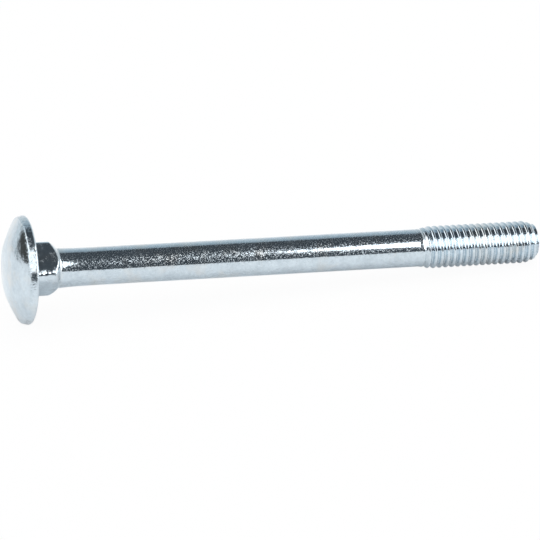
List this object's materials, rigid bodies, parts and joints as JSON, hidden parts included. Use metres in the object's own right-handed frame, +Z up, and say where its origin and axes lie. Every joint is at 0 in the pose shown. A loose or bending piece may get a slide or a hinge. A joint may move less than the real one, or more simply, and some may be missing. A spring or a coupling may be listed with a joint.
{
  "type": "carriage bolt",
  "caption": "Long carriage bolt with a low mushroom head, a square neck, a plain reduced shank and a coarse metric thread with a tapered end.",
  "frame": {"origin": "middle of the bolt's footprint on the surface that it lies on", "axes": "+Z up from the surface, +X from the head towards the thread end; the bolt's own axis lies in the XZ plane and drops 3.61 degrees towards +X, because it rests on the head's rim and the thread's end"},
  "size_m": [0.1252, 0.0246, 0.0245],
  "materials": {
    "zinc_plated_steel": "bright zinc plating, blue-white"
  },
  "bodies": {
    "root": {"carriage_bolt": "zinc_plated_steel"}
  },
  "joints": []
}
